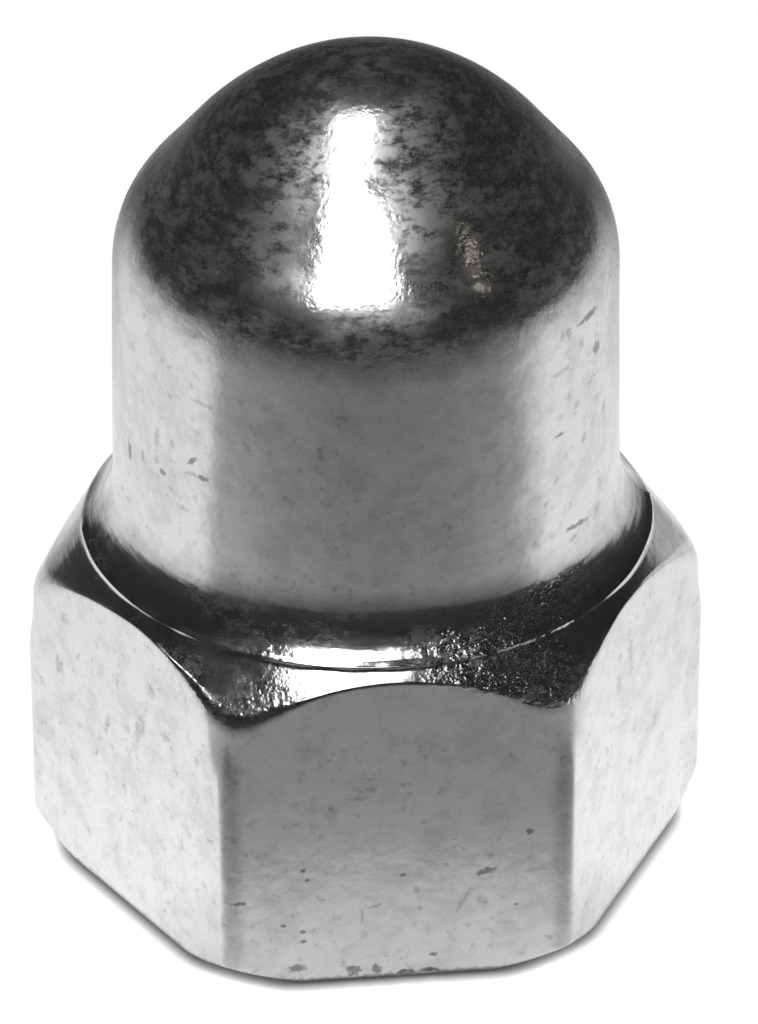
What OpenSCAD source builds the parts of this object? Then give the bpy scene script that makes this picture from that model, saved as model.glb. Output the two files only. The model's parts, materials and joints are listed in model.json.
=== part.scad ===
// Closed wheel nut: a hexagon that runs up through a hollow neck into a drafted barrel with a
// domed end, over a blind threaded hole. Millimetres. The axis is Z, the bearing face lies on
// z = 0 and one flat faces -Y.

/* [Hexagon] */
// Distance across two opposite flats
across_flats = 19; // [17:0.5:24]
// Height of the hexagon, from the bearing face up to the ridge around its top
hex_h = 11.75; // [9:0.25:14]
// Radius that rounds the six upright corners
corner_r = 0.5; // [0.2:0.1:1.2]
// How far the ridge around the top lies inside the flats
ridge_inset = 0.4; // [0.1:0.1:0.8]
// Fall of the top chamfer, in degrees down from level
chamfer_angle = 48; // [42:1:60]
// How far the circle of the foot lies outside the flats
foot_reach = 0.4; // [0.1:0.1:0.8]
// Chamfer under the corners, in degrees out from upright
foot_angle = 50; // [30:1:70]

/* [Barrel] */
// Width of the step from the ridge in to the barrel
ledge_w = 1; // [0.5:0.1:1.6]
// Radius of the hollow neck between the ridge and the barrel
neck_r = 2.8; // [1.5:0.1:4]
// Draft of the barrel, in degrees on each side
barrel_draft = 1; // [0.5:0.25:3]

/* [Dome] */
// Height of the whole nut
nut_h = 27.9; // [25:0.1:36]
// Radius of the shoulder that turns the barrel into the dome
shoulder_r = 4.4; // [2:0.1:5]
// Slope of the flank above the shoulder, in degrees in from upright
flank_angle = 39.5; // [25:0.5:50]
// Length of the straight flank between the shoulder and the crown
flank_len = 1.7; // [0.5:0.1:3]

/* [Threaded hole] */
// Nominal diameter of the metric thread
thread_d = 12; // [10:1:14]
// Pitch of the thread
thread_pitch = 1.5; // [1:0.25:2]
// Depth of the hole at its full diameter, from the bearing face
hole_depth = 20; // [14:0.5:21]
// Angle of the drill tip at the end of the hole
drill_angle = 118; // [90:1:140]
// How much wider than the thread the countersunk mouth is
mouth_extra = 0.9; // [0.2:0.1:2]
// Angle of the countersunk mouth
mouth_angle = 120; // [60:5:140]

/* [Hidden] */
$fn = 96;

HEX_SIDES = 6;
// Depth of an internal metric thread on both sides together, as a share of its pitch
MINOR_SHARE = 5 / 8 * sqrt(3);
// Rounds stand this little proud of their tangents, so that they cross them cleanly
HAIR = 0.001;
// How far a cutter reaches past what it cuts
REACH = 1;

flat_r = across_flats / 2;
corner_centre_r = (flat_r - corner_r) / cos(180 / HEX_SIDES);
straight_l = 2 * (flat_r - corner_r) * tan(180 / HEX_SIDES);
blank_r = corner_centre_r + corner_r + REACH;
foot_r = flat_r + foot_reach;
ridge_r = flat_r - ridge_inset;
barrel_r = ridge_r - ledge_w;

// The neck's circle touches the drafted barrel and passes through the ridge.
neck_u = (ridge_r - barrel_r) * cos(barrel_draft);
neck_v = sqrt(2 * neck_r * neck_u - neck_u * neck_u) - (ridge_r - barrel_r) * sin(barrel_draft);
neck_top = [barrel_r - neck_v * sin(barrel_draft), hex_h + neck_v * cos(barrel_draft)];
neck_centre = neck_top + neck_r * ray(barrel_draft);

// The crown is centred on the axis and starts where the flank ends, so its radius, and with it
// the dome's height, follow from the barrel, the shoulder and the flank. The draft carries on up
// to the shoulder, whose height depends in turn on how far the barrel has drawn in.
shoulder_in = shoulder_r * (cos(barrel_draft) - cos(flank_angle));
shoulder_up = shoulder_r * (sin(flank_angle) - sin(barrel_draft));
flank_in = flank_len * sin(flank_angle);
flank_up = flank_len * cos(flank_angle);
crown_rise = (1 - sin(flank_angle)) / cos(flank_angle);
draft_in = tan(barrel_draft);
rise_if_upright = shoulder_up + flank_up + crown_rise * (barrel_r - shoulder_in - flank_in);
shoulder_z = (nut_h - rise_if_upright - crown_rise * draft_in * hex_h) / (1 - crown_rise * draft_in);
shoulder_start = [barrel_r - draft_in * (shoulder_z - hex_h), shoulder_z];
shoulder_centre = shoulder_start - shoulder_r * ray(barrel_draft);
flank_start = shoulder_centre + shoulder_r * ray(flank_angle);
flank_end = flank_start + [-flank_in, flank_up];
crown_r = flank_end[0] / cos(flank_angle);
crown_centre = [0, nut_h - crown_r];

hole_r = (thread_d - MINOR_SHARE * thread_pitch) / 2;
tip_h = hole_r / tan(drill_angle / 2);
mouth_r = (thread_d + mouth_extra) / 2;
mouth_h = (mouth_r - hole_r) / tan(mouth_angle / 2);

// Unit vector at an angle above level
function ray(angle) = [cos(angle), sin(angle)];

// Cutter that rounds a corner: all that lies beyond an arc, between two angles above level
module corner_trim(centre, radius, from, to) {
    far = 2 * radius;
    difference() {
        polygon([centre, centre + far * ray(from), centre + far * ray(to)]);
        translate(centre) circle(radius + HAIR);
    }
}

// Half outline that the nut is turned to: foot and top chamfers, neck, barrel and dome
module turned_outline() {
    shoulder_mid = (barrel_draft + flank_angle) / 2;
    shoulder_half = (flank_angle - barrel_draft) / 2;
    difference() {
        polygon([
            [0, 0],
            [foot_r, 0],
            [blank_r, (blank_r - foot_r) / tan(foot_angle)],
            [blank_r, hex_h - (blank_r - ridge_r) * tan(chamfer_angle)],
            [ridge_r, hex_h],
            neck_top,
            shoulder_centre + shoulder_r / cos(shoulder_half) * ray(shoulder_mid),
            crown_centre + [0, crown_r / sin(flank_angle)]
        ]);
        translate(neck_centre) circle(neck_r + HAIR);
        corner_trim(shoulder_centre, shoulder_r, barrel_draft, flank_angle);
        corner_trim(crown_centre, crown_r, flank_angle, 90);
    }
}

// Hexagon with round corners: the flats stop where a round at each corner takes over
module hexagon_outline() {
    intersection() {
        circle(flat_r / cos(180 / HEX_SIDES), $fn = HEX_SIDES);
        for (i = [0 : HEX_SIDES - 1])
            rotate(i * 360 / HEX_SIDES) {
                translate([-straight_l / 2, 0]) square([straight_l, flat_r + REACH]);
                rotate(180 / HEX_SIDES) translate([0, corner_centre_r]) circle(corner_r + HAIR);
            }
    }
}

// Half outline of the blind hole: countersunk mouth, drilled wall and drill tip
module hole_outline() {
    polygon([
        [0, -REACH],
        [mouth_r + REACH * tan(mouth_angle / 2), -REACH],
        [hole_r, mouth_h],
        [hole_r, hole_depth],
        [0, hole_depth + tip_h]
    ]);
}

module wheel_nut() {
    color([0.78, 0.79, 0.8])
    difference() {
        intersection() {
            linear_extrude(nut_h + REACH) hexagon_outline();
            rotate_extrude() turned_outline();
        }
        rotate_extrude() hole_outline();
    }
}

wheel_nut();
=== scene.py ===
import json
import math
import bpy
import numpy as np
from mathutils import Matrix, Vector


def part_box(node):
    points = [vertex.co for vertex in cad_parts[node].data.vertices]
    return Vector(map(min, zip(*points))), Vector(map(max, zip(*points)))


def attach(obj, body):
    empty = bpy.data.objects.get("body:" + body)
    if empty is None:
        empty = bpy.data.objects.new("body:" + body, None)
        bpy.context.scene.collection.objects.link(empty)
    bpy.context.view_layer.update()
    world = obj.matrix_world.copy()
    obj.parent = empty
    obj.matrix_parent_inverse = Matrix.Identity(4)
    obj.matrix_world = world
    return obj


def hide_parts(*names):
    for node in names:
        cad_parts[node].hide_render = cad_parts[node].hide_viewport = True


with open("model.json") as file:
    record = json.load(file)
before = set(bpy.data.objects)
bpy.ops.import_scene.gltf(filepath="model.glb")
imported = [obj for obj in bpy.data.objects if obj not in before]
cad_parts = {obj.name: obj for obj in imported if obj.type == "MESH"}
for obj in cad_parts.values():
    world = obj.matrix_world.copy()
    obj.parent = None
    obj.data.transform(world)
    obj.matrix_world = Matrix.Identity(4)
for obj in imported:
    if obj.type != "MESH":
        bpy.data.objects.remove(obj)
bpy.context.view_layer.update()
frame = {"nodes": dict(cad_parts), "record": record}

print("frame loaded:", ", ".join(frame["nodes"]))

mm = 0.001
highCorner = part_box("wheel_nut")[1]
threadMount = next(m for m in frame["record"]["mounts"] if m["name"] == "stud_thread")

# what a user would change on the nut, in millimetres and degrees
nut = {
    "flatRadius": highCorner.y / mm,         # axis to a flat
    "height": highCorner.z / mm,             # bearing face to crown
    "cornerRound": 0.5,                      # upright corners of the hexagon
    "cornerTop": 1.5,                        # added to it at the top, from this height up
    "cornerTopFrom": 7.4,
    "hexHeight": 11.75,                      # bearing face to the ridge around the top
    "ridgeInset": 0.4,                       # ridge inside the flats
    "chamferAngle": 48.0,                    # fall of the top chamfer
    "chamferRound": 0.24,                    # round where the chamfer meets a flat
    "chamferCorner": 1.1,                    # added to it at the corners
    # the cutter left the chamfer's end higher or lower around the nut: degrees and height
    "chamferLift": ((0, -0.45), (170, -0.45), (184, -0.1), (205, -0.1), (222, 0.2), (232, 0.26),
                    (240, 0.12), (248, 0), (256, 0.1), (275, 0.05), (292, 0.08), (303, 0.25),
                    (316, 0.28), (332, -0.1), (345, -0.25), (360, -0.45)),
    "ledge": 1.0,                            # ridge in to the barrel
    "neckRound": 2.8,                        # hollow neck
    "draft": 1.0,                            # barrel, each side
    "shoulderRound": 4.4,
    "flankAngle": 39.5,
    "flankLength": 1.7,
    "footReach": 0.33,                       # circle of the foot outside the flats
    "footAngle": 50.0,                       # chamfer under the corners, out from upright
    "footRound": 0.28,                       # round around the foot
    "footCorner": 0.5,                       # added to it at the corners
    "footTop": 0.8,                          # height at which the wall above it is measured
    "footRub": (0.5, 0.13),                  # worn back over this height, by this much
    # nicks along the front of the foot: middle along and up, half length, half height
    "nicks": ((-3.23, 0.62, 0.25, 0.22), (-1.42, 0.46, 0.26, 0.28), (-0.69, 0.44, 0.15, 0.26),
              (0.21, 0.26, 0.22, 0.16), (1.01, 0.28, 0.32, 0.13)),
    "nickDepth": 0.07,
    "minorRadius": threadMount["dims"]["r_mm"],
    "majorRadius": 6.0,
    "pitch": 1.5,
    "threadTop": 18.0,                       # where the thread runs out
    "holeDepth": 20.0,
    "drillAngle": 118.0,
    "mouthRadius": 6.45,
    "mouthAngle": 120.0,
    "mouthRim": 0.07,                        # broken edge of the mouth
    "faceMargin": 0.6,                       # even ring of the bearing face around the mouth
    "flankPressed": 0.09,                    # dome's flank pressed in
    "pressedSpan": (22.4, 24.2, 26.0, 27.6),   # begins, is full, begins to end and ends at these heights
    "backSag": 0.3,                          # ridge lower at the back
    "sagTurn": (75, 95),                     # full and ended at these angles from straight behind
    "sagSpan": (9.0, 15.5),                  # lowest and highest point that it moves
    "crownLean": 0.11,                       # the pressed dome sits this far off the axis
    "leanFrom": 19.0,                        # and begins to lean here
    "skinWaves": ((0.006, 3.2), (0.003, 1.3)),   # depth and wavelength of the barrel's unevenness
    "beadHeight": 0.075,                     # raised bead along the ridge
    "beadWidth": 0.075,
    "beadWave": 1.6,                         # wavelength in which its height changes
    # cells along crown, flank, shoulder, barrel and neck
    "turnedCells": (26, 6, 20, 36, 22),
    "domeFrom": (20.6, 22.2),                # finish of the dome fades in over these heights
    "collarEnd": (1.3, 2.3),                 # finish of the collar fades out this far above the ridge
    "darkStripCorners": (240, 300),               # upright corners with a darker strip beside each, on the flat between them
    "darkStripReach": (0.16, 0.36),               # full and ended this far in from the corner
    "flatCells": (44, 44, 44, 44, 80, 44),   # columns on each flat, the front one fifth
    "seed": 11,
}


# sum of random plane waves: a smooth unevenness with the given wavelength, about -1 to 1
def unevenness(points, wavelength, seed, waves=28):
    rng = np.random.RandomState(seed)
    direction = rng.normal(size=(waves, 3))
    direction /= np.linalg.norm(direction, axis=1)[:, None]
    wave = direction * (2 * math.pi / wavelength) * rng.uniform(0.6, 1.5, size=(waves, 1))
    phase = rng.uniform(0, 2 * math.pi, size=waves)
    return np.cos(np.tensordot(points, wave, axes=([-1], [1])) + phase).sum(axis=-1) / math.sqrt(waves)


def smoothStep(low, high, x):
    t = np.clip((x - low) / (high - low), 0, 1)
    return t * t * (3 - 2 * t)


# point of a circle's arc at an angle above level
def arcPoints(centre, radius, startDeg, endDeg, cells):
    t = np.radians(np.linspace(startDeg, endDeg, cells + 1))
    return np.stack([centre[0] + radius * np.cos(t), centre[1] + radius * np.sin(t)], axis=-1)


def linePoints(start, end, cells):
    k = np.linspace(0, 1, cells + 1)[:, None]
    return np.array(start) * (1 - k) + np.array(end) * k


# distance from the axis to the hexagon's outline, for an angle and a rounding of the upright
# corners: flat radius / cos(angle from the flat's middle), or further out the corner's circle
def hexagonReach(n, angles, rounding):
    away = np.mod(angles, math.pi / 3) - math.pi / 6
    inner = n["flatRadius"] - rounding
    straight = n["flatRadius"] / np.cos(away)
    turn = math.pi / 6 - np.abs(away)
    centre = inner / math.cos(math.pi / 6)
    curved = centre * np.cos(turn) + np.sqrt(np.maximum(rounding ** 2 - (centre * np.sin(turn)) ** 2, 0))
    onFlat = n["flatRadius"] * np.tan(np.abs(away)) <= inner * math.tan(math.pi / 6)
    return np.where(onFlat, straight, curved)


# the corners are rounder towards the top, where the forging filled the die less
def cornerRounding(n, z):
    return n["cornerRound"] + n["cornerTop"] * smoothStep(n["cornerTopFrom"], n["hexHeight"] - 0.8, z)


# how far the chamfer's end is lifted at each angle, smoothed over a few degrees
def chamferLift(n, angles):
    degrees, lift = np.array(n["chamferLift"]).T
    around = (np.degrees(angles)[None] + np.linspace(-4, 4, 9)[:, None]) % 360
    return np.interp(around, degrees, lift).mean(axis=0)


# angles of the columns: each flat's own number of even steps, with a few more round each corner
def hexagonColumns(n, arcCells=4, support=0.06):
    tangent = (n["flatRadius"] - n["cornerRound"]) * math.tan(math.pi / 6)
    turn = np.radians(np.linspace(30, 0, arcCells + 1))
    arc = np.arctan2(tangent + n["cornerRound"] * np.sin(turn),
                     n["flatRadius"] - n["cornerRound"] + n["cornerRound"] * np.cos(turn))
    angles = []
    for k, flatCells in enumerate(n["flatCells"]):
        flat = np.arctan2(np.linspace(tangent - support, support - tangent, flatCells - 1), n["flatRadius"])
        angles.append(np.concatenate([arc, flat, -arc[::-1][:-1]])[::-1] + math.radians(60 * k + 30))
    return np.concatenate(angles)


def unitAt(degrees):
    return np.array([math.cos(math.radians(degrees)), math.sin(math.radians(degrees))])


# turned part of the outline from the crown's pole down to the ridge: arcs and straight lines that
# touch each other, in radius and height
def turnedOutline(n):
    ridge = np.array([n["flatRadius"] - n["ridgeInset"], n["hexHeight"]])
    barrelRadius = ridge[0] - n["ledge"]
    draft = math.radians(n["draft"])
    across = n["ledge"] * math.cos(draft)
    along = math.sqrt(2 * n["neckRound"] * across - across ** 2) - n["ledge"] * math.sin(draft)
    neckTop = np.array([barrelRadius - along * math.sin(draft), ridge[1] + along * math.cos(draft)])
    neckCentre = neckTop + n["neckRound"] * unitAt(n["draft"])
    flank = math.radians(n["flankAngle"])
    drawIn = n["shoulderRound"] * (math.cos(draft) - math.cos(flank)) + n["flankLength"] * math.sin(flank)
    rise = n["shoulderRound"] * (math.sin(flank) - math.sin(draft)) + n["flankLength"] * math.cos(flank)
    crownRise = (1 - math.sin(flank)) / math.cos(flank)
    slope = math.tan(draft)
    shoulderZ = n["height"] - rise - crownRise * (barrelRadius - drawIn + slope * n["hexHeight"])
    shoulderZ /= 1 - crownRise * slope
    shoulder = np.array([barrelRadius - slope * (shoulderZ - n["hexHeight"]), shoulderZ])
    shoulderCentre = shoulder - n["shoulderRound"] * unitAt(n["draft"])
    flankStart = shoulderCentre + n["shoulderRound"] * unitAt(n["flankAngle"])
    flankEnd = flankStart + n["flankLength"] * np.array([-math.sin(flank), math.cos(flank)])
    crownRadius = flankEnd[0] / math.cos(flank)
    crownCentre = np.array([0, n["height"] - crownRadius])
    neckEnd = math.degrees(math.atan2(neckCentre[1] - ridge[1], neckCentre[0] - ridge[0]))
    crownCells, flankCells, shoulderCells, barrelCells, neckCells = n["turnedCells"]
    return np.concatenate([
        arcPoints(crownCentre, crownRadius, 90, n["flankAngle"], crownCells),
        linePoints(flankEnd, flankStart, flankCells)[1:],
        arcPoints(shoulderCentre, n["shoulderRound"], n["flankAngle"], n["draft"], shoulderCells)[1:],
        linePoints(shoulder, neckTop, barrelCells)[1:],
        arcPoints(neckCentre, n["neckRound"], 180 + n["draft"], 180 + neckEnd, neckCells)[1:],
    ])


# the whole outside as radius and height on a grid: turned rows first, then rows that follow each
# column's own distance to the hexagon, so that the chamfer's arcs and the foot's lie on rows
def outsideGrid(n):
    angles = hexagonColumns(n)
    turned = turnedOutline(n)
    rows = [np.repeat(turned[:, None, :], len(angles), axis=1)]

    def addRow(r, z):
        rows.append(np.stack(np.broadcast_arrays(r, z), axis=-1)[None])

    # where the cone of the chamfer meets each column, found by a few rounds of substitution
    ridge = turned[-1]
    fall = math.radians(n["chamferAngle"])
    lift = chamferLift(n, angles)
    away = np.abs(np.mod(angles, math.pi / 3) - math.pi / 6) / (math.pi / 6)
    edgeZ = np.full_like(angles, ridge[1] - 1.0)
    for _ in range(12):
        reach = hexagonReach(n, angles, cornerRounding(n, edgeZ))
        edgeZ = ridge[1] - (reach - ridge[0]) * math.tan(fall) + lift
    rounding = n["chamferRound"] + n["chamferCorner"] * smoothStep(0.45, 1.0, away)
    setBack = rounding * math.tan((math.pi / 2 - fall) / 2)
    chamferEnd = np.maximum(reach - setBack * math.cos(fall), ridge[0] + 0.05)
    slope = math.tan(fall) - lift / (reach - ridge[0])
    # rows close together beside the ridge, for its bead, then evenly down the cone
    for step in (0.015, 0.03, 0.05, 0.075, 0.11, 0.16):
        beside = np.minimum(ridge[0] + step, chamferEnd - 0.01)
        addRow(beside, ridge[1] - (beside - ridge[0]) * slope)
    for k in np.linspace(0, 1, 12)[1:]:
        r = beside + (chamferEnd - beside) * k
        addRow(r, ridge[1] - (r - ridge[0]) * slope)
    arcZ = edgeZ - setBack
    for t in np.radians(np.linspace(90 - n["chamferAngle"], 0, 9)[1:]):
        addRow(reach - rounding * (1 - math.cos(t)), arcZ + rounding * math.sin(t))

    # wall of the hexagon, then the chamfer under the corners between two small rounds; where the
    # flat lies inside the foot's circle the two rounds are one
    footRounding = n["footRound"] + n["footCorner"] * smoothStep(0.6, 1.0, away)
    tilt = math.radians(n["footAngle"])
    footRadius = n["flatRadius"] + n["footReach"]
    wallEnd = hexagonReach(n, angles, cornerRounding(n, n["footTop"]))
    drop = math.cos(tilt) * (wallEnd - footRounding - footRadius)
    upperZ = np.maximum((drop + footRounding) / math.sin(tilt), footRounding)
    lowerR = np.minimum(footRadius - footRounding * (1 - math.sin(tilt)) / math.cos(tilt),
                        wallEnd - footRounding)
    for k in np.concatenate([[0.006], np.linspace(0, 1, 46)[1:-1], [0.994, 1]]):
        z = arcZ + (upperZ - arcZ) * k
        wall = hexagonReach(n, angles, cornerRounding(n, z))
        addRow(reach + (wall - reach) * smoothStep(0, 0.25, k), z)
    lastR = rows[-1][0, :, 0]
    for t in np.linspace(0, tilt, 6)[1:]:
        addRow(lastR - footRounding * (1 - math.cos(t)), upperZ - footRounding * math.sin(t))
    upperEnd = rows[-1][0]
    lowerStart = np.stack([lowerR + footRounding * math.cos(tilt),
                           footRounding * (1 - math.sin(tilt))], axis=-1)
    for k in (0.25, 0.5, 0.75, 1.0):
        point = upperEnd + (lowerStart - upperEnd) * k
        addRow(point[:, 0], point[:, 1])
    for t in np.linspace(tilt, math.pi / 2, 6)[1:]:
        addRow(lowerR + footRounding * math.cos(t), footRounding * (1 - math.sin(t)))
    # bearing face, in towards the mouth
    inner = n["mouthRadius"] + n["faceMargin"]
    for k in [0.02] + list(np.linspace(0, 1, 9)[1:]):
        addRow(lowerR + (inner - lowerR) * k, 0.0)

    # wear: the foot rubbed back, and the dome's flank pressed in a little
    grid = np.concatenate(rows)
    height = grid[..., 1].copy()
    rubHeight, rub = n["footRub"]
    low = np.clip(1 - height / rubHeight, 0, 1) ** 2 * smoothStep(inner, inner + 2, grid[..., 0])
    begin, full, easing, end = n["pressedSpan"]
    pressed = smoothStep(begin, full, height) * (1 - smoothStep(easing, end, height))
    grid[..., 0] -= rub * low + n["flankPressed"] * pressed
    # at the back the forging is lower around the ridge
    behind = 1 - smoothStep(*n["sagTurn"], np.abs(np.degrees(angles) % 360 - 90))
    lowest, highest = n["sagSpan"]
    around = (smoothStep(lowest, ridge[1] - 0.3, height)
              * (1 - smoothStep(ridge[1] + 0.3, highest, height)))
    grid[..., 1] -= n["backSag"] * behind * around
    return angles, grid


# the hole as radius and height on a grid: mouth, thread and drill tip. A thread row climbs one
# pitch in a turn; where it would leave the thread's span it is held at the span's end.
def holeGrid(n, angles):
    depth = n["majorRadius"] - n["minorRadius"]
    slope = math.tan(math.radians(n["mouthAngle"] / 2))
    mouthTop = (n["mouthRadius"] - n["minorRadius"]) / slope
    threadStart = (n["mouthRadius"] - n["majorRadius"]) / slope
    turn = (angles - angles[0]) / (2 * math.pi)
    parts = np.array([0, 0.125, 0.25, 0.354, 0.458, 0.5625, 0.6875, 0.79, 0.896])
    turns = int(math.ceil((n["holeDepth"] - threadStart) / n["pitch"])) + 1
    share = (np.arange(-1, turns)[:, None] + parts).reshape(-1)
    free = threadStart + n["pitch"] * (share[:, None] + turn[None])
    z = np.clip(free, threadStart, n["holeDepth"])
    # one pitch of the profile: crest, flank out, root, flank in
    phase = (z - threadStart) / n["pitch"] - turn[None]
    phase = phase - np.floor(phase + 1e-6)
    groove = np.interp(phase, [0, 0.25, 0.5625, 0.6875, 1.0], [0, 0, 1, 1, 0])
    runOut = 1 - smoothStep(n["threadTop"] - n["pitch"], n["threadTop"], z)
    r = np.maximum(n["minorRadius"] + depth * groove * runOut, n["mouthRadius"] - z * slope)
    rim = n["mouthRim"]
    tipHeight = n["minorRadius"] / math.tan(math.radians(n["drillAngle"] / 2))
    ringAt = [(n["mouthRadius"] + n["faceMargin"] - 0.5 * k, 0.0) for k in (0.34, 0.67)]
    ringAt += [(n["mouthRadius"] + rim, 0.0), (n["mouthRadius"] + rim * 0.3, rim * 0.12),
               (n["mouthRadius"] - rim * 0.5, rim * 0.6)]
    tipAt = [(n["minorRadius"] * (1 - k), n["holeDepth"] + tipHeight * k) for k in np.linspace(0, 1, 9)[1:]]
    mouth, tip = (np.repeat(np.array(at)[:, None], len(angles), axis=1) for at in (ringAt, tipAt))
    return np.concatenate([mouth, np.stack([r, z], axis=-1), tip])


# joins equal points and turns the grid's cells into faces; a cell whose side has shrunk away becomes
# a triangle, and one that has shrunk to a line is dropped
def weld(points, cells, group):
    key = np.round(points / 1e-5).astype(np.int64)
    first, back = np.unique(key, axis=0, return_index=True, return_inverse=True)[1:]
    corners = back.reshape(-1)[cells]
    repeats = corners == np.roll(corners, 1, axis=1)
    crossed = (corners[:, 0] == corners[:, 2]) | (corners[:, 1] == corners[:, 3])
    whole = (repeats.sum(axis=1) == 0) & ~crossed
    shrunk = (repeats.sum(axis=1) == 1) & ~crossed
    triangles = corners[shrunk][~repeats[shrunk]].reshape(-1, 3)
    faces = corners[whole].tolist() + triangles.tolist()
    return points[first], faces, np.concatenate([group[whole], group[shrunk]])


# cells of a grid whose last column stays open, each as four points in turn
def stripCells(rowCount, columnCount):
    i, j = np.meshgrid(np.arange(rowCount - 1), np.arange(columnCount - 1), indexing="ij")
    a = i * columnCount + j
    return np.stack([a, a + columnCount, a + columnCount + 1, a + 1], axis=-1).reshape(-1, 4)


# cells of a grid whose last column joins its first
def gridCells(rowCount, columnCount):
    i, j = np.meshgrid(np.arange(rowCount - 1), np.arange(columnCount), indexing="ij")
    k = (j + 1) % columnCount
    return np.stack([i * columnCount + j, (i + 1) * columnCount + j,
                     (i + 1) * columnCount + k, i * columnCount + k], axis=-1).reshape(-1, 4)


# attributes for the finish: how much a point belongs to the dome and to the collar of neck and
# chamfer, and to the darker strips beside two upright corners
def addZones(mesh, points, n):
    radius = np.hypot(points[:, 0], points[:, 1])
    height = points[:, 2]
    dome = smoothStep(*n["domeFrom"], height)
    collarFades, collarEnds = n["collarEnd"]
    above = smoothStep(n["hexHeight"] + collarFades, n["hexHeight"] + collarEnds, height)
    ridge = n["flatRadius"] - n["ridgeInset"]
    slopeTop = n["hexHeight"] - (radius - ridge) * math.tan(math.radians(n["chamferAngle"]))
    onChamfer = smoothStep(-0.12, -0.03, height - slopeTop) * (radius > ridge)
    overRidge = smoothStep(n["hexHeight"] - 0.1, n["hexHeight"], height)
    inNeck = (1 - above) * (radius <= ridge + 0.01) * overRidge
    collar = np.maximum(onChamfer, inNeck)
    degrees = np.degrees(np.arctan2(points[:, 1], points[:, 0])) % 360
    leftCorner, rightCorner = n["darkStripCorners"]
    # distance from the nearest corner's line, measured square to the corner
    turn = np.radians(np.abs((degrees - leftCorner) % 60 - 30) - 30)
    inward = n["flatRadius"] / math.cos(math.pi / 6) - radius * np.cos(turn)
    between = (smoothStep(leftCorner - 1.2, leftCorner + 0.2, degrees)
               * (1 - smoothStep(rightCorner - 0.2, rightCorner + 1.2, degrees)))
    darkStrip = (1 - smoothStep(*n["darkStripReach"], inward)) * between
    for name, value in (("dome", dome), ("collar", collar), ("darkStrip", darkStrip)):
        mesh.attributes.new(name, "FLOAT", "POINT").data.foreach_set("value", value.astype(np.float32))


def buildNut(n):
    angles, outside = outsideGrid(n)
    rowCount, columnCount = outside.shape[:2]
    ring = np.stack([np.cos(angles), np.sin(angles)], axis=-1)
    points = np.concatenate([outside[..., :1] * ring[None], outside[..., 1:]], axis=-1)
    # the bead runs along the ridge, higher here and lower there
    ridge = turnedOutline(n)[-1]
    away = np.hypot(outside[..., 0] - ridge[0], outside[..., 1] - ridge[1])
    ridgeRing = np.concatenate([ring * ridge[0], np.full((columnCount, 1), ridge[1])], axis=-1)
    swell = 0.85 + 0.35 * unevenness(ridgeRing, n["beadWave"], n["seed"] + 1)
    bead = n["beadHeight"] * np.clip(swell, 0.1, 1.4)[None] * np.exp(-(away / n["beadWidth"]) ** 2)
    outward = math.cos(math.radians(45))
    points[..., :2] += (bead * outward)[..., None] * ring[None]
    points[..., 2] += bead * outward
    # forging: the dome leans a hair and its skin is not quite true
    high = smoothStep(n["leanFrom"], n["height"], points[..., 2])
    points[..., 0] += n["crownLean"] * high
    body = smoothStep(n["hexHeight"] + 0.8, n["hexHeight"] + 3.0, points[..., 2])
    wave = sum(depth * unevenness(points, length, n["seed"] + 2 + k)
               for k, (depth, length) in enumerate(n["skinWaves"]))
    points[..., :2] -= (np.abs(wave) * body)[..., None] * ring[None] * smoothStep(0, 3, outside[..., :1])

    # nicks: dents with a round middle in the front flat and the rub below it
    front = (outside[..., 1] < 2.0) & (points[..., 1] < -8.0)
    for along, up, halfLength, halfHeight in n["nicks"]:
        apart = np.hypot((points[..., 0] - along) / halfLength, (points[..., 2] - up) / halfHeight)
        points[..., 1] += n["nickDepth"] * (1 - smoothStep(0.45, 1.15, apart)) * front

    # the hole has a third of the columns, and its last column closes on its first one turn higher
    holeAngles = angles[::3]
    holeClosed = np.concatenate([holeAngles, [holeAngles[0] + 2 * math.pi]])
    hole = holeGrid(n, holeClosed)
    holeRing = np.stack([np.cos(holeClosed), np.sin(holeClosed)], axis=-1)
    holePoints = np.concatenate([hole[..., :1] * holeRing[None], hole[..., 1:]], axis=-1)

    outCells = gridCells(rowCount, columnCount)
    base = rowCount * columnCount
    holeRows, holeColumns = hole.shape[:2]
    holeCells = base + stripCells(holeRows, holeColumns)
    # three outside columns meet one column of the hole on the bearing face
    lastRow = (rowCount - 1) * columnCount
    j = np.arange(holeColumns - 1)
    a, b, c, d = (lastRow + (3 * j + s) % columnCount for s in range(4))
    e, f = base + j, base + j + 1
    stitch = np.concatenate([np.stack([a, e, b, b], axis=-1), np.stack([b, e, f, c], axis=-1),
                             np.stack([c, f, d, d], axis=-1)])
    cells = np.concatenate([outCells, stitch, holeCells])
    group = np.concatenate([np.zeros(len(outCells) + len(stitch), int), np.ones(len(holeCells), int)])
    allPoints = np.concatenate([points.reshape(-1, 3), holePoints.reshape(-1, 3)])
    vertices, faces, groups = weld(allPoints, cells, group)
    mesh = bpy.data.meshes.new("closedWheelNut")
    mesh.from_pydata((vertices * mm).tolist(), [], faces)
    mesh.polygons.foreach_set("material_index", groups.astype(np.int32))
    mesh.polygons.foreach_set("use_smooth", np.ones(len(faces), dtype=bool))
    mesh.update()
    addZones(mesh, vertices, n)
    piece = bpy.data.objects.new("closedWheelNut", mesh)
    bpy.context.scene.collection.objects.link(piece)
    return piece


# adds nodes to a tree: settings by name, inputs by name or number, each a value or another's output
def nodeMaker(tree):
    def add(kind, inputs=None, **settings):
        node = tree.nodes.new(kind)
        for key, value in settings.items():
            setattr(node, key, value)
        for key, value in (inputs or {}).items():
            if isinstance(value, bpy.types.NodeSocket):
                tree.links.new(value, node.inputs[key])
            else:
                node.inputs[key].default_value = value
        return node
    return add


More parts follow.
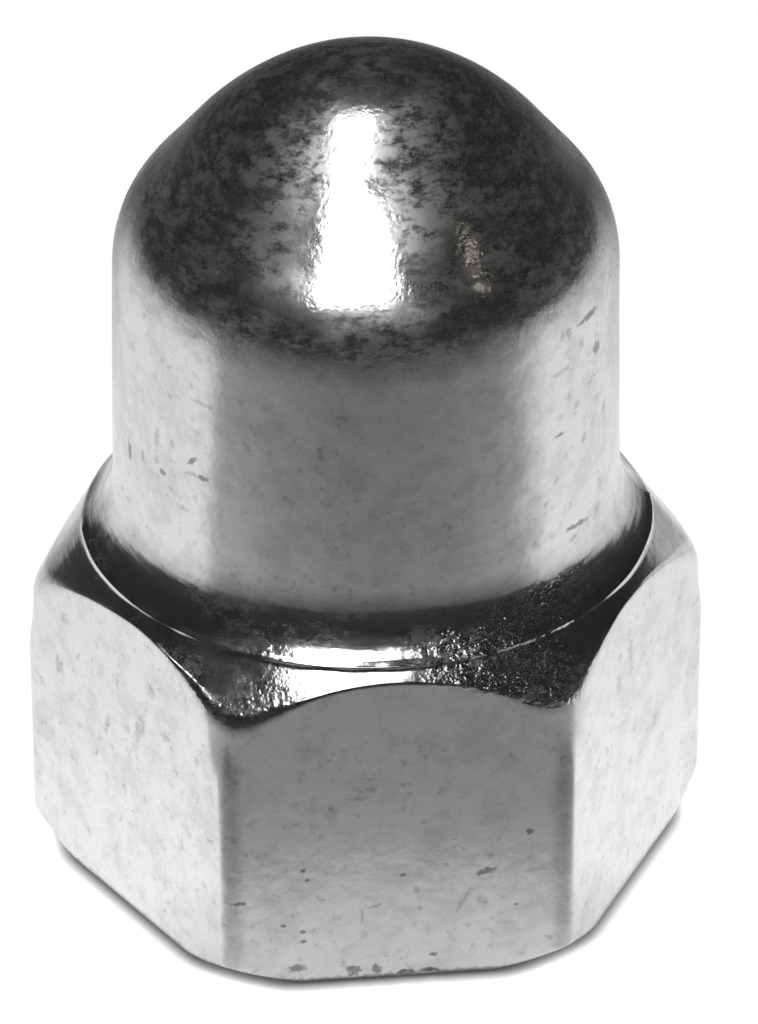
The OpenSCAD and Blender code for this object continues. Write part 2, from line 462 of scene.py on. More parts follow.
def calc(add, operation, a, b=0.0, clamp=False):
    return add("ShaderNodeMath", {0: a, 1: b}, operation=operation, use_clamp=clamp).outputs["Value"]


# runs smoothly from one value to another while the given value runs from low to high
def ramp(add, value, low, high, start=0.0, end=1.0):
    node = add("ShaderNodeMapRange", {"Value": value, "From Min": low, "From Max": high, "To Min": start,
                                      "To Max": end}, interpolation_type="SMOOTHSTEP")
    return node.outputs["Result"]


def blendColour(add, share, first, second):
    node = add("ShaderNodeMix", {0: share, 6: first, 7: second}, data_type="RGBA")
    return node.outputs[2]


# fractal noise, about 0 to 1 around a middle of 0.5
def noise(add, vector, scale, detail, roughness):
    node = add("ShaderNodeTexNoise", {"Vector": vector, "Scale": scale, "Detail": detail,
                                      "Roughness": roughness})
    return node.outputs[0]


waveScale = 1.5                              # noise scale at which a pattern is about 1 mm across


# starts a shader group with named inputs and outputs, and gives its maker, inputs and outputs
def startGroup(name, inputs, outputs):
    tree = bpy.data.node_groups.new(name, "ShaderNodeTree")
    for key, value in inputs.items():
        kind = "NodeSocketVector" if value is None else "NodeSocketFloat"
        socket = tree.interface.new_socket(key, in_out="INPUT", socket_type=kind)
        if value is not None:
            socket.default_value = value
    for key in outputs:
        tree.interface.new_socket(key, in_out="OUTPUT", socket_type="NodeSocketFloat")
    add = nodeMaker(tree)
    return tree, add, add("NodeGroupInput").outputs, add("NodeGroupOutput").inputs


# skin left by the dies: long waves and a finer peel, in millimetres of height
def skinGroup():
    inputs = {"Vector": None, "Wave": 2.4, "Depth": 0.01, "Fineness": 0.5}
    tree, add, given, result = startGroup("dieSkin", inputs, ["Height"])
    scale = calc(add, "DIVIDE", waveScale, given["Wave"])
    pattern = noise(add, given["Vector"], scale, 2.0, given["Fineness"])
    height = calc(add, "MULTIPLY", calc(add, "SUBTRACT", pattern, 0.5), given["Depth"])
    tree.links.new(height, result["Height"])
    return tree


# dull clouds in the plating: a soft mask where the noise passes the threshold
def cloudGroup():
    inputs = {"Vector": None, "Size": 1.5, "Threshold": 0.5, "Softness": 0.12, "Grit": 0.6}
    tree, add, given, result = startGroup("platingClouds", inputs, ["Mask"])
    scale = calc(add, "DIVIDE", waveScale, given["Size"])
    pattern = noise(add, given["Vector"], scale, 3.5, given["Grit"])
    low = calc(add, "SUBTRACT", given["Threshold"], given["Softness"])
    high = calc(add, "ADD", given["Threshold"], given["Softness"])
    tree.links.new(ramp(add, pattern, low, high), result["Mask"])
    return tree


# lines of the turning tool: noise that hardly changes around the axis and quickly along the radius
def turningGroup():
    inputs = {"Vector": None, "Pitch": 0.15, "Depth": 0.002, "Breaks": 1.6}
    tree, add, given, result = startGroup("turningLines", inputs, ["Height"])
    parts = add("ShaderNodeSeparateXYZ", {"Vector": given["Vector"]}).outputs
    flat = add("ShaderNodeCombineXYZ", {"X": parts["X"], "Y": parts["Y"]}).outputs["Vector"]
    radius = add("ShaderNodeVectorMath", {0: flat}, operation="LENGTH").outputs["Value"]
    around = add("ShaderNodeVectorMath", {0: flat}, operation="NORMALIZE").outputs["Vector"]
    turn = add("ShaderNodeSeparateXYZ", {"Vector": around}).outputs
    line = add("ShaderNodeCombineXYZ", {"X": calc(add, "MULTIPLY", turn["X"], given["Breaks"]),
                                        "Y": calc(add, "MULTIPLY", turn["Y"], given["Breaks"]),
                                        "Z": calc(add, "DIVIDE", radius, given["Pitch"])})
    pattern = noise(add, line.outputs["Vector"], 1.0, 2.0, 0.5)
    height = calc(add, "MULTIPLY", calc(add, "SUBTRACT", pattern, 0.5), given["Depth"])
    tree.links.new(height, result["Height"])
    return tree


effects = {"skin": skinGroup(), "clouds": cloudGroup(), "turning": turningGroup()}


# places an effect's group: its inputs by name, with the first letter small
def effect(add, name, **inputs):
    named = {key[0].upper() + key[1:]: value for key, value in inputs.items()}
    return add("ShaderNodeGroup", named, node_tree=effects[name]).outputs[0]


def startMaterial(name):
    made = bpy.data.materials.new(name)
    made.use_nodes = True
    made.cycles.emission_sampling = "NONE"
    made.node_tree.nodes.clear()
    add = nodeMaker(made.node_tree)
    return made, add, add("ShaderNodeOutputMaterial").inputs["Surface"]


# bright plating: what a user would change, lengths in millimetres
plating = {
    "colour": (0.90, 0.90, 0.89, 1),
    # the stain colour is also used for the painted shade along the foot
    "stain": (0.50, 0.50, 0.485, 1),
    "soot": (0.12, 0.115, 0.11, 1),
    "gloss": 0.13,                           # roughness of the clean plating
    "frost": 0.38,                           # and of its haze
    "seed": (8.4, 2.7, 5.3),                 # moves the clouds
    # clouds: size, threshold, softness, grit
    "broadClouds": {"size": 4.2, "threshold": 0.48, "softness": 0.12, "grit": 0.55},
    "fineClouds": {"size": 1.1, "threshold": 0.50, "softness": 0.13, "grit": 0.76},
    "mottling": {"size": 1.9, "threshold": 0.53, "softness": 0.12, "grit": 0.74},
    "specks": {"size": 0.6, "threshold": 0.63, "softness": 0.07, "grit": 0.66},
    # shares of haze
    "flatHaze": 0.07,                        # on the flats and the barrel
    "flatClouds": 0.10,                      # added to it by the fine clouds
    "domeHaze": 0.14,
    "domeClouds": 1.05,                      # added to it by the clouds
    "collarHaze": 0.04,
    "collarClouds": 0.35,
    "patchHaze": 0.62,
    "patchRim": (1.3, 0.2),                  # a patch begins and is full here, 1 being its own rim
    # shares of stain and soot, of the darker strips and of the painted shade along the foot, and the same
    # two distances for the placed marks
    "mottle": 0.32,                          # soft stains on all the metal
    "speckStain": 0.60,
    "faintStain": 0.55,
    "faintRim": (1.4, 0.3),
    "faintRagged": 3.2,
    "deepSoot": 0.66,
    "deepRim": (1.3, 0.6),
    "deepRagged": 2.6,
    "darkStripShare": 0.55,
    "paintedShadeShare": 0.75,
    "paintedShadeHeight": (0.40, 0.22),             # painted shade along the foot, standing in for the shadow under it as the metal reflects it, begins and is full here
    # relief: depth, wave and fineness
    "skin": {"wave": 2.6, "depth": 0.022, "fineness": 0.45},
    "dimples": {"wave": 0.9, "depth": 0.010, "fineness": 0.50},
    "grain": {"wave": 0.26, "depth": 0.007, "fineness": 0.55},
    "flatGrain": 0.22,                       # share of the grain on all the metal
    "domeGrain": 0.75,                       # added to it on the dome
    "turning": {"pitch": 0.16, "depth": 0.012, "breaks": 1.6},
    "lumps": 2.4,                            # how many times more uneven the flats are near the foot
    "lumpsHeight": (5.8, 4.4),
    "pitting": 6.5,                          # how much rougher the collar is beside the middle
    "pittedRight": (0.2, 2.2, 5.0, 6.8),     # begins, full, begins to end and ends at these X
    "pittedLeft": (-2.8, -3.6, -6.0, -7.2),
    "pittedLeftShare": 0.22,
    "pittedHeight": (13.1, 12.4),            # begins and is full at these heights
}

# pits and smudges placed one by one, in millimetres and degrees: direction the face looks in, its
# distance from the axis, middle along it and up, half length, half height, lean
deepMarks = [                                # the first five lie on the nicks of the foot
    (270, 9.5, -3.23, 0.73, 0.25, 0.16, 0), (270, 9.5, -1.42, 0.54, 0.25, 0.2, 0),
    (270, 9.5, -0.69, 0.52, 0.14, 0.18, 0), (270, 9.5, 0.21, 0.33, 0.22, 0.1, 0),
    (270, 9.5, 1.01, 0.35, 0.32, 0.1, 0), (270, 9.5, -3.01, 4.52, 0.09, 0.06, -20),
    (270, 9.5, -2.89, 4.16, 0.06, 0.06, 0), (270, 9.5, -3.66, 2.44, 0.09, 0.06, 0),
    (270, 9.5, -3.03, 2.16, 0.1, 0.07, 0), (270, 9.5, -3.03, 1.77, 0.1, 0.07, 0),
    (270, 9.5, -5.04, 3.4, 0.19, 0.07, 0), (270, 9.5, 0.11, 4.12, 0.09, 0.07, 0),
    (270, 9.5, 2.8, 4.07, 0.35, 0.12, -20), (270, 9.5, 4.16, 5.5, 0.14, 0.1, 0),
    (270, 9.5, 3.74, 2.72, 0.06, 0.07, 0), (270, 9.5, 1.1, 0.97, 0.13, 0.08, 0),
    (197, 8.03, 0, 15.92, 0.14, 0.34, 0), (212, 8.02, 0, 16.29, 0.13, 0.1, 0),
    (222, 8, 0, 17.33, 0.26, 0.08, -35), (225, 8.01, 0, 16.88, 0.25, 0.1, 0),
    (324, 7.93, 0, 21.33, 0.5, 0.11, 0), (328, 7.96, 0, 19.92, 0.22, 0.23, 0),
    (313, 7.99, 0, 17.83, 0.24, 0.06, 0), (319, 8.06, 0, 14.1, 0.61, 0.1, 8),
]
faintMarks = [
    (270, 9.5, 0.59, 3.5, 0.13, 0.12, 0), (270, 9.5, 0.65, 2.84, 0.1, 0.1, 0),
    (270, 9.5, 2.08, 3, 0.08, 0.51, 27), (270, 9.5, 2.65, 2.92, 0.25, 0.14, 25),
    (270, 9.5, 2.33, 4.45, 0.16, 0.1, -40), (270, 9.5, 4.8, 1.34, 0.16, 0.08, 35),
    (270, 9.5, -0.92, 7.49, 0.28, 0.09, 10), (270, 9.5, -1.14, 7.13, 0.28, 0.08, 0),
    (270, 9.5, -0.84, 2.96, 0.29, 0.07, -12), (270, 9.5, -1.16, 2.71, 0.06, 0.31, 0),
    (270, 9.5, -5.08, 8, 0.12, 0.06, 20), (270, 9.5, -5.31, 8.73, 0.08, 0.49, 0),
    (210, 9.5, -0.32, 8.72, 0.17, 0.31, 15), (210, 9.5, 0.86, 7.43, 0.2, 0.94, 20),
    (210, 9.5, -0.91, 6.8, 0.14, 0.39, 20), (210, 9.5, 1.59, 9.35, 0.23, 0.23, 0),
    (210, 9.5, 2.32, 8.08, 0.28, 0.23, 0), (210, 9.5, -3.66, 7.48, 0.24, 0.28, 0),
    (210, 9.5, -3.23, 9.52, 0.29, 0.16, 0), (330, 9.5, -0.77, 9.28, 0.21, 0.63, -14),
    (330, 9.5, -1.74, 8.58, 0.21, 0.43, 0), (330, 9.5, 1.44, 5.29, 0.35, 0.36, -10),
    (204, 8.02, 0, 16.24, 0.19, 0.19, 0), (210, 8, 0, 17.38, 0.13, 0.46, 0),
    (210, 8.02, 0, 16.61, 0.16, 0.15, 0), (222, 8.01, 0, 16.88, 0.22, 0.08, -15),
    (219, 8.04, 0, 15.42, 0.23, 0.11, 0), (192, 8.06, 0, 14.06, 0.14, 0.23, 0),
    (225, 7.96, 0, 19.56, 0.37, 0.08, 0), (321, 7.95, 0, 20.56, 0.15, 0.17, -30),
    (316, 7.93, 0, 21.33, 0.15, 0.23, 0), (313, 7.95, 0, 20.06, 0.44, 0.11, 0),
    (311, 7.8, 0, 22.11, 0.42, 0.15, 0), (319, 7.98, 0, 18.47, 0.17, 0.15, 0),
    (332, 8, 0, 17.38, 0.22, 0.3, 15), (322, 8.01, 0, 17.11, 0.15, 0.19, 0),
    (330, 8.05, 0, 14.83, 0.24, 0.23, 0), (317, 8.07, 0, 13.75, 0.21, 0.11, 0),
    (328, 8.06, 0, 13.97, 0.21, 0.23, 0), (294, 7.98, 0, 18.47, 0.15, 0.06, 0),
]

hazePatches = [
    (245, 6.9, 0, 24.2, 1.5, 1.0, 0), (281, 5.9, 0, 25.3, 1.1, 0.8, 0),
    (262, 7.2, 0, 23.6, 1.8, 0.5, 0), (236, 5.6, 0, 25.6, 1.1, 1.0, 0),
]
markDepth = 0.9                              # half depth of a mark, into the metal


# how near the closest of the placed marks is, where 1 is a mark's own rim
def nearestMark(add, vector, marks):
    nearest = 9.0                            # further away than any ramp looks
    for face, distance, along, height, halfLength, halfHeight, lean in marks:
        turn = math.radians(face)
        middle = (distance * math.cos(turn) - along * math.sin(turn),
                  distance * math.sin(turn) + along * math.cos(turn), height)
        placed = {"Vector": vector, "Location": middle,
                  "Rotation": (0, math.radians(lean), turn + math.pi / 2),
                  "Scale": (halfLength, markDepth, halfHeight)}
        local = add("ShaderNodeMapping", placed, vector_type="TEXTURE").outputs["Vector"]
        away = add("ShaderNodeVectorMath", {0: local}, operation="LENGTH").outputs["Value"]
        nearest = calc(add, "MINIMUM", nearest, away)
    return nearest


def platingMaterial(n):
    made, add, surface = startMaterial("brightPlating")

    def times(a, b):
        return calc(add, "MULTIPLY", a, b)

    def plus(a, b):
        return calc(add, "ADD", a, b)

    def attribute(name):
        return add("ShaderNodeAttribute", attribute_name=name).outputs["Fac"]

    # rises over the first two values and falls over the last two
    def hill(value, begin, full, easing, end):
        return times(ramp(add, value, begin, full), ramp(add, value, end, easing))

    place = add("ShaderNodeTexCoord").outputs["Object"]
    vector = add("ShaderNodeMapping", {"Vector": place, "Scale": (1 / mm,) * 3}).outputs["Vector"]
    # the second vector is squeezed upright, so that its clouds are wider than they are high
    moved = add("ShaderNodeMapping", {"Vector": vector, "Location": n["seed"],
                                      "Scale": (1, 1, 2.1)}).outputs["Vector"]
    parts = add("ShaderNodeSeparateXYZ", {"Vector": vector}).outputs
    dome = attribute("dome")
    collar = attribute("collar")

    # haze: a share of duller plating, in flat clouds on the dome and even elsewhere
    broad = effect(add, "clouds", vector=moved, **n["broadClouds"])
    fine = effect(add, "clouds", vector=moved, **n["fineClouds"])
    cloud = times(fine, plus(0.15, times(broad, 0.85)))
    elsewhere = calc(add, "SUBTRACT", 1.0, plus(dome, collar), clamp=True)
    haze = times(plus(n["flatHaze"], times(fine, n["flatClouds"])), elsewhere)
    haze = plus(haze, times(dome, plus(n["domeHaze"], times(cloud, n["domeClouds"]))))
    fromPatch = plus(nearestMark(add, vector, hazePatches), times(calc(add, "SUBTRACT", fine, 0.5), 0.9))
    patch = times(ramp(add, fromPatch, *n["patchRim"]), n["patchHaze"])
    haze = plus(haze, times(patch, plus(0.25, times(fine, 0.75))))
    haze = plus(haze, times(collar, plus(n["collarHaze"], times(cloud, n["collarClouds"]))))

    # mottled metal, irregular specks where the broad clouds are, placed marks, and painted shade that
    # darkens the foot towards the bottom
    mottle = effect(add, "clouds", vector=vector, **n["mottling"])
    speck = times(effect(add, "clouds", vector=vector, **n["specks"]), plus(0.25, times(broad, 0.75)))
    ragged = calc(add, "SUBTRACT", noise(add, vector, 5.5, 2.0, 0.6), 0.5)
    fromDeep = plus(nearestMark(add, vector, deepMarks), times(ragged, n["deepRagged"]))
    fromFaint = plus(nearestMark(add, vector, faintMarks), times(ragged, n["faintRagged"]))
    deep = ramp(add, fromDeep, *n["deepRim"])
    faint = ramp(add, fromFaint, *n["faintRim"])
    # painted shade: the foot darker towards the bottom, standing in for the shadow under it that the metal
    # reflects; it joins the stains below
    paintedFootShade = ramp(add, plus(parts["Z"], times(ragged, 0.5)), *n["paintedShadeHeight"])
    stain = plus(times(mottle, n["mottle"]), times(speck, n["speckStain"]))
    stain = plus(stain, plus(times(faint, n["faintStain"]), times(paintedFootShade, n["paintedShadeShare"])))
    stain = plus(stain, times(attribute("darkStrip"), n["darkStripShare"]))
    stained = blendColour(add, calc(add, "MINIMUM", stain, 1.0), n["colour"], n["stain"])
    colour = blendColour(add, times(deep, n["deepSoot"]), stained, n["soot"])

    # relief, all in millimetres
    skin = effect(add, "skin", vector=vector, **n["skin"])
    dimple = effect(add, "skin", vector=vector, **n["dimples"])
    grain = effect(add, "skin", vector=vector, **n["grain"])
    lines = effect(add, "turning", vector=vector, **n["turning"])
    sides = plus(hill(parts["X"], *n["pittedRight"]),
                 times(hill(parts["X"], *n["pittedLeft"]), n["pittedLeftShare"]))
    pitted = times(sides, times(collar, ramp(add, parts["Z"], *n["pittedHeight"])))
    rougher = times(pitted, n["pitting"])
    grainShare = plus(plus(n["flatGrain"], times(dome, n["domeGrain"])), rougher)
    lumpy = plus(ramp(add, parts["Z"], *n["lumpsHeight"], 1.0, n["lumps"]), rougher)
    relief = plus(plus(skin, times(dimple, lumpy)), times(grain, grainShare))
    relief = plus(relief, times(lines, collar))
    normal = add("ShaderNodeBump", {"Height": relief, "Strength": 1.0, "Distance": mm}).outputs["Normal"]

    shared = {"Base Color": colour, "Metallic": 1.0, "Normal": normal}
    clean = add("ShaderNodeBsdfPrincipled", {**shared, "Roughness": n["gloss"]}).outputs["BSDF"]
    dull = add("ShaderNodeBsdfPrincipled", {**shared, "Roughness": n["frost"]}).outputs["BSDF"]
    share = calc(add, "MINIMUM", haze, 1.0)
    finish = add("ShaderNodeMixShader", {0: share, 1: clean, 2: dull}).outputs["Shader"]
    made.node_tree.links.new(finish, surface)
    return made


# finish inside the hole, lengths in millimetres
bore = {
    "colour": (0.50, 0.50, 0.485, 1),
    "stain": (0.36, 0.35, 0.33, 1),
    "clouds": {"size": 2.2, "threshold": 0.5, "softness": 0.2, "grit": 0.6},
    "grain": {"wave": 0.3, "depth": 0.006, "fineness": 0.6},
    "rough": (0.26, 0.42),                   # roughness of clean and of stained metal
}


def boreMaterial(n):
    made, add, surface = startMaterial("boreFinish")
    place = add("ShaderNodeTexCoord").outputs["Object"]
    vector = add("ShaderNodeMapping", {"Vector": place, "Scale": (1 / mm,) * 3}).outputs["Vector"]
    stain = effect(add, "clouds", vector=vector, **n["clouds"])
    grain = effect(add, "skin", vector=vector, **n["grain"])
    colour = blendColour(add, stain, n["colour"], n["stain"])
    rough = ramp(add, stain, 0, 1, *n["rough"])
    relief = add("ShaderNodeBump", {"Height": grain, "Strength": 1.0, "Distance": mm}).outputs["Normal"]
    shader = add("ShaderNodeBsdfPrincipled", {"Base Color": colour, "Metallic": 1.0, "Roughness": rough,
                                              "Normal": relief})
    made.node_tree.links.new(shader.outputs["BSDF"], surface)
    return made


piece = buildNut(nut)
piece.data.materials.append(platingMaterial(plating))
piece.data.materials.append(boreMaterial(bore))
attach(piece, "root")
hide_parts("wheel_nut")
print("nut built:", len(piece.data.polygons), "faces")

# camera: height above the nut, distance and turn around it
view = {
    "elevation": 32.733,
    "azimuth": -5.957,
    "distance": 231.79,
    "aimHeight": 11.624,                     # point it looks at
    "aimRight": 0.406,
    "roll": -0.15,
    "focalPixels": 7249.1,                   # focal length, in pixels of the frame's longer side
    "framePixels": 1024,
    "sensor": 36.0,
    "clip": (0.01, 20),                      # metres
}


def placeCamera(v):
    azimuth, elevation, roll = (math.radians(v[k]) for k in ("azimuth", "elevation", "roll"))
    right = Vector((math.cos(azimuth), math.sin(azimuth), 0))
    back = Vector((math.sin(azimuth) * math.cos(elevation), -math.cos(azimuth) * math.cos(elevation),
                   math.sin(elevation)))
    up = back.cross(right)
    turnedRight = right * math.cos(roll) + up * math.sin(roll)
    turnedUp = up * math.cos(roll) - right * math.sin(roll)
    aim = right * v["aimRight"] * mm + Vector((0, 0, v["aimHeight"] * mm))
    camera = bpy.data.objects.new("camera", bpy.data.cameras.new("camera"))
    camera.data.sensor_width = v["sensor"]
    camera.data.lens = v["focalPixels"] * v["sensor"] / v["framePixels"]
    camera.data.clip_start, camera.data.clip_end = v["clip"]
    turn = Matrix((turnedRight, turnedUp, back)).transposed().to_4x4()
    turn.translation = aim + back * v["distance"] * mm
    camera.matrix_world = turn
    bpy.context.scene.collection.objects.link(camera)
    bpy.context.scene.camera = camera


placeCamera(view)
print("camera placed")


# the table and the studio around it, in millimetres and degrees; azimuths are counted from the
# direction of the camera towards its right
studio = {
    "sheetHalf": 4000.0,                     # white floor sheet
    "sheetShift": 1300.0,                    # keeps the sheet's own diagonal away from the nut
    "sheetDrop": 0.02,                       # just under the bearing face
    "contactReach": 0.36,                    # how far the foot's shadow spreads
    "contactPower": 1.3,                     # how quickly it darkens
    "contactRadius": 13.0,                   # it is looked for within this distance of the axis
    # pool of light on the table as the metal sees it: brightness by distance from the axis, at the
    # sides and behind, and in front where the camera stands in the light
    "poolInner": 8.9,
    "poolDistance": (11, 12.3, 14, 15.5, 17, 20, 28, 40,
                     60, 80, 110, 150, 220, 350, 700, 3600),
    "poolSide": (0.96, 0.96, 0.94, 0.92, 0.88, 0.84, 0.80, 0.75,
                 0.69, 0.64, 0.54, 0.43, 0.30, 0.18, 0.09, 0.05),
    "poolBack": (1.0, 1.0, 0.98, 0.96, 0.94, 0.90, 0.82, 0.50,
                 0.27, 0.18, 0.13, 0.10, 0.08, 0.06, 0.05, 0.04),
    "poolFront": (0.74, 0.72, 0.64, 0.52, 0.38, 0.32, 0.28, 0.215,
                  0.16, 0.14, 0.12, 0.10, 0.08, 0.06, 0.04, 0.03),
    "poolSteps": (241, 90),                  # points around and outwards
    "backFrom": 138.0,                       # the back begins at this azimuth on both sides
    "backSoft": 14.0,
    "frontLeft": (-66.0, 5.0),               # where the front shade ends, and how softly
    "frontRight": (71.0, 13.0),
    "frontMiddle": (8.0, 0.78, 0.50),        # its darkest azimuth, level there, gain at the sides
    "tentRadius": 3700.0,                    # dark tent above: brightness by elevation
    "tentElevation": (0, 3, 10, 25, 90),
    "tentLevel": (0.035, 0.03, 0.024, 0.018, 0.012),
    "panelHeight": 400.0,                    # strip light overhead
    # its outline: distance to the front, left end and right end
    "panelOutline": ((-172, -92, 28), (-88, -102, 17), (5, -112, 6), (68, -124, -6), (103, -131, -14),
                     (145, -139, 0), (168, -145, 45), (189, -150, 71), (240, -172, 90), (290, -194, 104),
                     (340, -198, 108), (388, -185, 95)),
    "panelGlow": 3.0,
    "spotAzimuth": 62.5,                     # a small warm lamp
    "spotElevation": 39.5,
    "spotDistance": 400.0,
    "spotRadius": 9.5,
    "spotGlow": (1.9, 1.72, 1.4),
    "paper": (0.9, 0.9, 0.9, 1),
    "worldStrength": 0.4,                    # for all that neither the eye nor the metal sees directly
}

# the camera's own directions over the floor
viewTurn = math.radians(view["azimuth"])
toRight = np.array([math.cos(viewTurn), math.sin(viewTurn), 0])
toFront = np.array([math.sin(viewTurn), -math.cos(viewTurn), 0])


# lays a prop's grid of points as a sheet; a glow is its light, one number or colour for each point,
# and a share is how much of it is there
def stageSheet(name, points, material, glow=None, share=1.0):
    rows, columns = points.shape[:2]
    i, j = np.meshgrid(np.arange(rows - 1), np.arange(columns - 1), indexing="ij")
    a = i * columns + j
    quads = np.stack([a, a + 1, a + columns + 1, a + columns], axis=-1).reshape(-1, 4)
    mesh = bpy.data.meshes.new(name)
    mesh.from_pydata((points.reshape(-1, 3) * mm).tolist(), [], quads.tolist())
    mesh.materials.append(material)
    sheet = bpy.data.objects.new(name, mesh)
    bpy.context.scene.collection.objects.link(sheet)
    if glow is not None:
        colour = np.ones((rows, columns, 4), dtype=np.float32)
        colour[..., :3] = glow
        layer = mesh.color_attributes.new("glow", "FLOAT_COLOR", "POINT")
        layer.data.foreach_set("color", colour.reshape(-1))
        part = np.broadcast_to(np.asarray(share, dtype=np.float32), (rows, columns)).reshape(-1)
        mesh.attributes.new("share", "FLOAT", "POINT").data.foreach_set("value", part)
        sheet.visible_camera = False
        sheet.visible_diffuse = False
        sheet.visible_shadow = False


# what the camera, the metal and glass see directly
def seenDirectly(add):
    ray = add("ShaderNodeLightPath").outputs
    seen = calc(add, "ADD", ray["Is Camera Ray"], ray["Is Glossy Ray"], clamp=True)
    return calc(add, "ADD", seen, ray["Is Transmission Ray"], clamp=True)


# light of a sheet with the foot's shadow in it: how open the sheet is close by, raised to a power,
# looked at only near the nut
def shadedGlow(add, n, colour):
    place = add("ShaderNodeNewGeometry").outputs["Position"]
    away = add("ShaderNodeVectorMath", {0: place}, operation="LENGTH").outputs["Value"]
    near = add("ShaderNodeAmbientOcclusion", {"Distance": n["contactReach"] * mm}, samples=4)
    shade = calc(add, "POWER", near.outputs["AO"], n["contactPower"])
    shaded = add("ShaderNodeEmission", {"Color": colour, "Strength": shade}).outputs["Emission"]
    plain = add("ShaderNodeEmission", {"Color": colour}).outputs["Emission"]
    close = calc(add, "LESS_THAN", away, n["contactRadius"] * mm)
    return add("ShaderNodeMixShader", {0: close, 1: plain, 2: shaded}).outputs["Shader"]


# white paper: the camera and the metal see it at full white, less the shadow close around the foot;
# from below it is clear
def floorMaterial(n):
    made, add, surface = startMaterial("whiteSheet")
    paper = add("ShaderNodeBsdfDiffuse", {"Color": n["paper"]}).outputs["BSDF"]
    glow = shadedGlow(add, n, (1, 1, 1, 1))
    above = add("ShaderNodeMixShader", {0: seenDirectly(add), 1: paper, 2: glow}).outputs["Shader"]
    clear = add("ShaderNodeBsdfTransparent").outputs["BSDF"]
    side = add("ShaderNodeNewGeometry").outputs["Backfacing"]
    sheet = add("ShaderNodeMixShader", {0: side, 1: above, 2: clear}).outputs["Shader"]
    made.node_tree.links.new(sheet, surface)
    return made


# every prop that only the metal sees: its light and its share are the sheet's attributes
def propMaterial(name, shade=None):
    made, add, surface = startMaterial(name)
    glow = add("ShaderNodeAttribute", attribute_name="glow").outputs["Color"]
    share = add("ShaderNodeAttribute", attribute_name="share").outputs["Fac"]
    plain = add("ShaderNodeEmission", {"Color": glow}).outputs["Emission"]
    light = shadedGlow(add, shade, glow) if shade else plain
    clear = add("ShaderNodeBsdfTransparent").outputs["BSDF"]
    sheet = add("ShaderNodeMixShader", {0: share, 1: clear, 2: light}).outputs["Shader"]
    made.node_tree.links.new(sheet, surface)
    return made


# the pool is a ring on the table, rings of points spaced evenly in the logarithm of the distance;
# between front and sides its brightness blends over a soft edge
def buildPool(n, material):
    around, outwards = n["poolSteps"]
    azimuth = np.linspace(-180, 180, around)
    distance = np.exp(np.linspace(math.log(n["poolInner"]), math.log(n["tentRadius"]), outwards))
    turn = np.radians(azimuth)[None, :, None]
    outward = np.sin(turn) * toRight + np.cos(turn) * toFront
    points = distance[:, None, None] * outward + [0, 0, n["sheetDrop"]]

    def byDistance(key):
        return np.interp(np.log(distance), np.log(n["poolDistance"]), n[key])[:, None]

    (left, leftSoft), (right, rightSoft) = n["frontLeft"], n["frontRight"]
    front = (smoothStep(left - leftSoft, left + leftSoft, azimuth)
             * (1 - smoothStep(right - rightSoft, right + rightSoft, azimuth)))[None]
    middle, level, gain = n["frontMiddle"]
    frontLevel = byDistance("poolFront") * (level + gain * ((azimuth - middle)[None] / 60) ** 2)
    backBegins, backFull = n["backFrom"] - n["backSoft"], n["backFrom"] + n["backSoft"]
    behind = smoothStep(backBegins, backFull, np.abs(azimuth))[None]
    side = byDistance("poolSide") * (1 - behind) + byDistance("poolBack") * behind
    light = side * (1 - front) + np.minimum(frontLevel, side) * front
    share = smoothStep(n["poolInner"], n["poolInner"] * 1.03, distance)[:, None] * np.ones_like(light)
    stageSheet("lightPool", points, material, light[..., None], share)


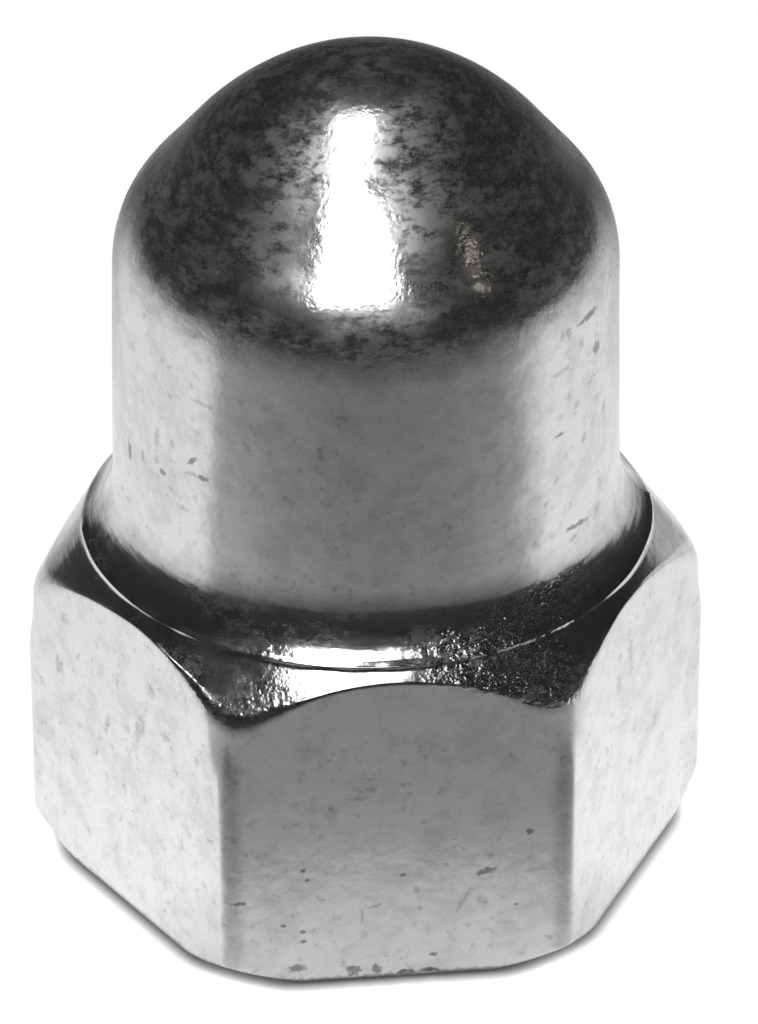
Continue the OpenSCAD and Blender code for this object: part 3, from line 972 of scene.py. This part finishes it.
def buildStudio(n):
    left, right = n["sheetShift"] - n["sheetHalf"], n["sheetShift"] + n["sheetHalf"]
    front, back = -n["sheetHalf"], n["sheetHalf"]
    corners = np.array([[[left, front], [right, front]], [[left, back], [right, back]]])
    level = np.full((2, 2, 1), -n["sheetDrop"])
    stageSheet("floor", np.concatenate([corners, level], axis=-1), floorMaterial(n))
    prop = propMaterial("propGlow")
    buildPool(n, propMaterial("poolGlow", n))
    # tent: half a sphere, elevation along and azimuth across
    rise = np.linspace(0, 90, 31)
    elevation = np.radians(rise)[:, None, None]
    azimuth = np.radians(np.linspace(0, 360, 73))[None, :, None]
    tent = n["tentRadius"] * (np.cos(elevation) * (np.cos(azimuth) * toRight + np.sin(azimuth) * toFront)
                              + np.sin(elevation) * np.array([0, 0, 1]))
    tentGlow = np.interp(rise, n["tentElevation"], n["tentLevel"])[:, None, None]
    stageSheet("darkTent", tent, prop, tentGlow)
    # strip panel: flat, level, between the two sides of its outline
    outline = np.array(n["panelOutline"], dtype=float)
    across = np.linspace(0, 1, 3)[None, :, None]
    ends = [outline[:, k, None, None] * toRight + outline[:, 0, None, None] * toFront for k in (1, 2)]
    panel = ends[0] * (1 - across) + ends[1] * across + [0, 0, n["panelHeight"]]
    stageSheet("stripPanel", panel, prop, n["panelGlow"])
    # warm lamp: a small disc that faces the nut
    turn, rise = math.radians(n["spotAzimuth"]), math.radians(n["spotElevation"])
    level = math.sin(turn) * toRight + math.cos(turn) * toFront
    aim = level * math.cos(rise) + np.array([0, 0, math.sin(rise)])
    side = np.cross(aim, [0, 0, 1])
    side /= np.linalg.norm(side)
    over = np.cross(side, aim)
    reach = np.linspace(0, n["spotRadius"], 3)[:, None, None]
    around = np.radians(np.linspace(0, 360, 25))[None, :, None]
    disc = aim * n["spotDistance"] + reach * (np.cos(around) * side + np.sin(around) * over)
    stageSheet("warmLamp", disc, prop, np.array(n["spotGlow"]))


# behind everything: white to the eye and to the metal, dimmer to all else
def buildWorld(n):
    world = bpy.data.worlds.new("studio")
    bpy.context.scene.world = world
    world.use_nodes = True
    world.node_tree.nodes.clear()
    add = nodeMaker(world.node_tree)
    strength = calc(add, "MAXIMUM", seenDirectly(add), n["worldStrength"])
    background = add("ShaderNodeBackground", {"Color": (1, 1, 1, 1), "Strength": strength})
    surface = add("ShaderNodeOutputWorld").inputs["Surface"]
    world.node_tree.links.new(background.outputs["Background"], surface)


buildStudio(studio)
buildWorld(studio)
bpy.context.scene.view_settings.view_transform = "Standard"
print("studio built")
